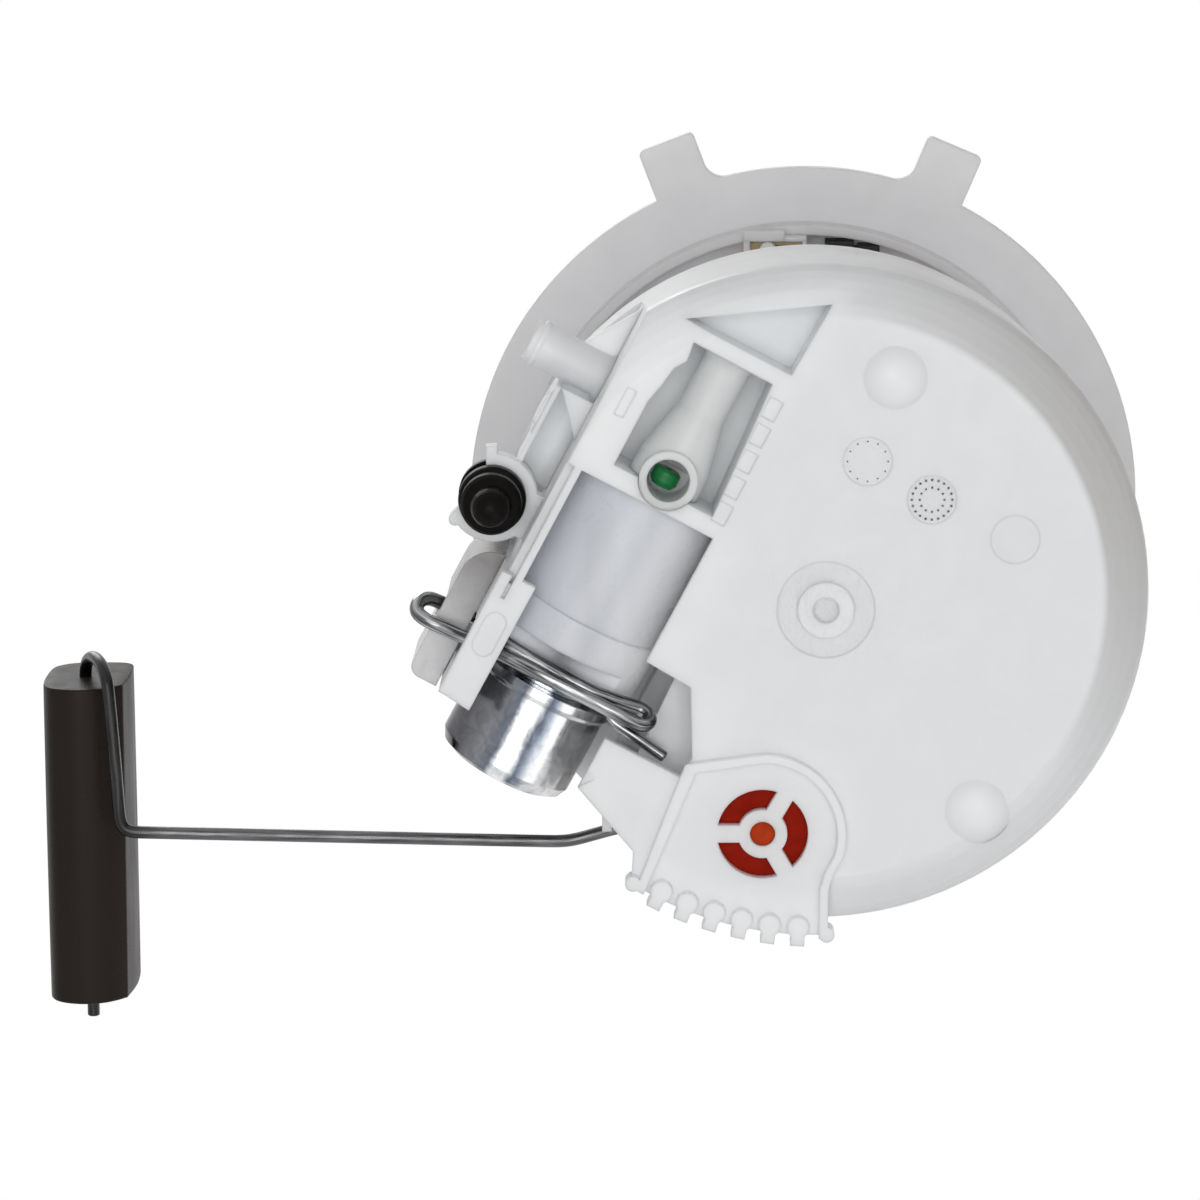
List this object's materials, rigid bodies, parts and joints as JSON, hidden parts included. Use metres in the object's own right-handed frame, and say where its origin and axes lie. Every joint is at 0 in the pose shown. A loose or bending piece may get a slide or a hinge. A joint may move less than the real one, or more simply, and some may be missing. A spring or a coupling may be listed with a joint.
{
  "type": "fuel pump module",
  "caption": "In-tank fuel pump module: sprung flange over a reservoir with pump, filter, pressure regulator, jet pump and float level sender.",
  "frame": {"origin": "centre of the flange's seat plane, on the module axis", "axes": "+Z out of the tank along the module axis, +Y towards the level sender's side, -X towards the float"},
  "size_m": [0.2407, 0.1872, 0.141],
  "materials": {
    "reservoir_white": "natural white moulded acetal, satin",
    "flange_white": "natural white moulded acetal, satin",
    "housing_white": "white moulded plastic, satin",
    "milky_plastic": "milky translucent plastic",
    "red_rubber": "red fluorosilicone rubber",
    "green_plastic": "green moulded plastic",
    "black_rubber": "black rubber",
    "black_plastic": "black glass-filled plastic",
    "tan_plastic": "tan plastic",
    "sender_white": "white plastic",
    "zinc_can": "bright zinc-plated steel",
    "spring_wire": "zinc-plated spring wire",
    "arm_wire": "drawn steel wire",
    "rod_steel": "ground steel",
    "pump_steel": "zinc-plated steel",
    "magnet_black": "sintered ferrite",
    "rotor_copper": "steel laminations with copper winding",
    "ceramic_card": "ceramic card with dark tracks",
    "contact_brass": "tin bronze",
    "float_foam": "closed-cell nitrile foam",
    "filter_paper": "pleated filter paper",
    "strainer_mesh": "woven nylon mesh",
    "hose_black": "black corrugated polyamide",
    "red_wire": "insulated wire",
    "grey_wire": "insulated wire"
  },
  "bodies": {
    "reservoir": {"reservoir_cup": "reservoir_white", "umbrella_valve": "red_rubber", "venturi_tube": "milky_plastic", "jet_nozzle": "green_plastic", "transfer_nipple": "reservoir_white", "rubber_bumper": "black_rubber", "bumper_holder": "reservoir_white", "regulator_housing": "housing_white", "regulator_can": "zinc_can", "regulator_seals": "black_rubber", "regulator_clip": "spring_wire", "side_chamber": "milky_plastic", "reservoir_cover": "reservoir_white", "filter_canister": "black_plastic", "filter_element": "filter_paper", "filter_cover": "black_plastic", "pump_can": "pump_steel", "pump_magnets": "magnet_black", "pump_inlet_cap": "black_plastic", "pump_outlet_cap": "black_plastic", "pump_isolator": "black_rubber", "inlet_strainer": "strainer_mesh", "feed_pipe": "reservoir_white", "outlet_riser": "reservoir_white", "sender_housing": "sender_white", "resistor_card": "ceramic_card", "spring_front": "spring_wire", "spring_back": "spring_wire", "corrugated_hose": "hose_black", "pump_wires": "red_wire", "sender_wires": "grey_wire"},
    "flange_body": {"guide_rod_front": "rod_steel", "guide_rod_back": "rod_steel", "rod_clip_front": "spring_wire", "rod_clip_back": "spring_wire", "flange": "flange_white", "outlet_fitting": "flange_white", "connector_socket": "black_plastic", "connector_terminals": "contact_brass", "inner_connector": "tan_plastic", "white_plug": "sender_white", "black_plug": "black_plastic"},
    "rotor": {"pump_rotor": "rotor_copper"},
    "float_arm_body": {"sender_hub": "sender_white", "sender_wiper": "contact_brass", "float_arm": "arm_wire"},
    "float_body": {"float": "float_foam"}
  },
  "joints": [
    {"name": "flange_slide", "type": "slide", "parent": "reservoir", "child": "flange_body", "axis": [0, 0, -1], "range_m": [0, 0.028], "stiffness_N_per_m": 600, "springref_m": -0.03, "deforming": ["spring_front", "spring_back", "corrugated_hose", "pump_wires", "sender_wires"]},
    {"name": "pump_spin", "type": "hinge", "parent": "reservoir", "child": "rotor", "pos_m": [0.024, 0, -0.08], "axis": [0, 0, 1], "continuous": true},
    {"name": "float_arm_swing", "type": "hinge", "parent": "reservoir", "child": "float_arm_body", "pos_m": [-0.03, 0.052, -0.073], "axis": [0, 1, 0], "range_deg": [-16.5, 19]},
    {"name": "float_swivel", "type": "hinge", "parent": "float_arm_body", "child": "float_body", "pos_m": [-0.15677, 0.062, -0.06271], "axis": [0, 1, 0], "range_deg": [-7, 7]}
  ]
}
